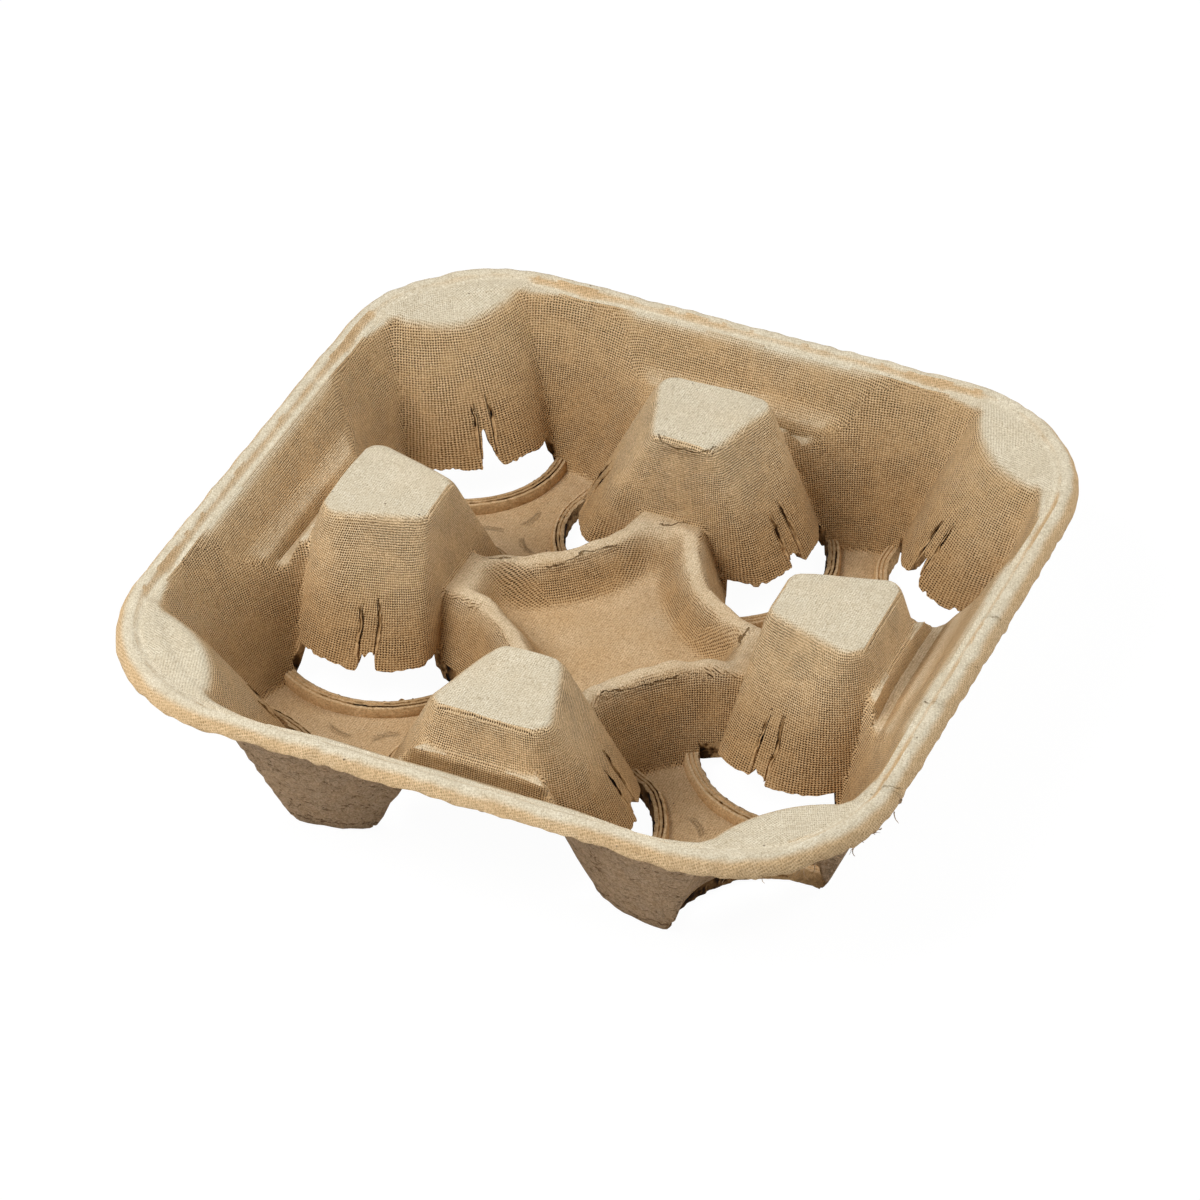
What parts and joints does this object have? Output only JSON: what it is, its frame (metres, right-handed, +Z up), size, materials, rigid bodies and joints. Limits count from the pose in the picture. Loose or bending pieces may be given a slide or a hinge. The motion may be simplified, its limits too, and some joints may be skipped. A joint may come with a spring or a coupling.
{
  "type": "cup carrier",
  "caption": "Square drink tray of moulded paper pulp: tapered cup pockets with slit flaps that grip the cups, towers between them, and a rolled rim to hold it by.",
  "frame": {"origin": "centre of the square footprint, on the plane that the feet rest on", "axes": "+Z up; +X and +Y along the sides of the rim"},
  "size_m": [0.2096, 0.2096, 0.048],
  "materials": {
    "pulp": "matt, screen-marked paper pulp"
  },
  "bodies": {
    "root": {"carrier_shell": "pulp"}
  },
  "joints": []
}
